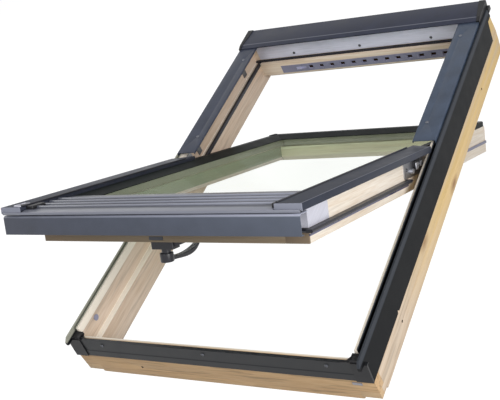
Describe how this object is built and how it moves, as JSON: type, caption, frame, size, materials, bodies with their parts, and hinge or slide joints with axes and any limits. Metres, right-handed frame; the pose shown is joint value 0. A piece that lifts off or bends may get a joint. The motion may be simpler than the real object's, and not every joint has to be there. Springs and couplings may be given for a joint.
{
  "type": "roof window",
  "caption": "Centre pivot roof window, tilted open: wooden frame and sash, sealed glass, slate metal covers, hood, ventilator and a handle that throws a latch.",
  "frame": {"origin": "middle of the lower outer edge of the wooden frame, on its room side", "axes": "+X to the right seen from outside, +Y up the slope, +Z outward from the room"},
  "size_m": [0.663, 1.011, 0.5983],
  "materials": {
    "frame_wood": "satin",
    "sash_wood": "satin",
    "slate_sheet": "satin",
    "black_profile": "satin",
    "black_plastic": "matte",
    "silver_sheet": "satin",
    "grey_plastic": "matte",
    "steel": "satin",
    "dark_screw": "satin",
    "rubber": "matte",
    "glass": "polished",
    "spacer": "matte",
    "bead": "satin",
    "handle": "satin"
  },
  "bodies": {
    "frame": {"bottom_profile": "black_profile", "bottom_rail": "frame_wood", "corner_clip": "silver_sheet", "cover_screws": "dark_screw", "frame_gasket": "rubber", "jamb_bushes": "grey_plastic", "left_corner_cap": "black_plastic", "left_hinge_plate": "steel", "left_hood_cap": "black_plastic", "left_jamb": "frame_wood", "left_lower_bracket": "steel", "left_side_profile": "black_profile", "left_upper_bracket": "steel", "left_upper_cover": "slate_sheet", "profile_screws": "dark_screw", "right_corner_cap": "black_plastic", "right_hinge_plate": "steel", "right_hood_cap": "black_plastic", "right_jamb": "frame_wood", "right_lower_bracket": "steel", "right_side_profile": "black_profile", "right_upper_bracket": "steel", "right_upper_cover": "slate_sheet", "striker": "steel", "strip_screws": "dark_screw", "top_hood": "slate_sheet", "top_rail": "frame_wood", "top_strip": "silver_sheet", "vent_bar": "grey_plastic"},
    "sash": {"apron_clips": "black_plastic", "arm_screws": "dark_screw", "bead_corners": "black_plastic", "drip_profile": "slate_sheet", "front_apron": "slate_sheet", "handle_base": "handle", "inner_pane": "glass", "left_corner_plate": "silver_sheet", "left_glass_bead": "bead", "left_hinge_arm": "steel", "left_lower_cover": "slate_sheet", "outer_pane": "glass", "pane_spacer": "spacer", "right_corner_plate": "silver_sheet", "right_glass_bead": "bead", "right_hinge_arm": "steel", "right_lower_cover": "slate_sheet", "sash_bottom_rail": "sash_wood", "sash_left_stile": "sash_wood", "sash_right_stile": "sash_wood", "sash_seal": "rubber", "sash_top_rail": "sash_wood", "thin_seals": "rubber", "top_glass_bead": "bead"},
    "lever": {"handle_lever": "handle"},
    "latch": {"latch_tongue": "steel"},
    "ventilator": {"vent_slider": "grey_plastic"}
  },
  "joints": [
    {"name": "sash_turn", "type": "hinge", "parent": "frame", "child": "sash", "pos_m": [0, 0.514, 0.112], "axis": [-1, 0, 0], "range_deg": [-33.3, 86.7]},
    {"name": "lever_turn", "type": "hinge", "parent": "sash", "child": "lever", "pos_m": [-0.022, 0.07054, 0.26929], "axis": [0, 0.549, 0.8358], "range_deg": [0, 90]},
    {"name": "latch_slide", "type": "slide", "parent": "sash", "child": "latch", "axis": [0, -0.8358, 0.549], "range_m": [0, 0.006]},
    {"name": "ventilator_slide", "type": "slide", "parent": "frame", "child": "ventilator", "axis": [1, 0, 0], "range_m": [0, 0.014]}
  ],
  "couplings": [
    {"joint": "latch_slide", "follows": "lever_turn", "m_per_rad": 0.0038}
  ]
}
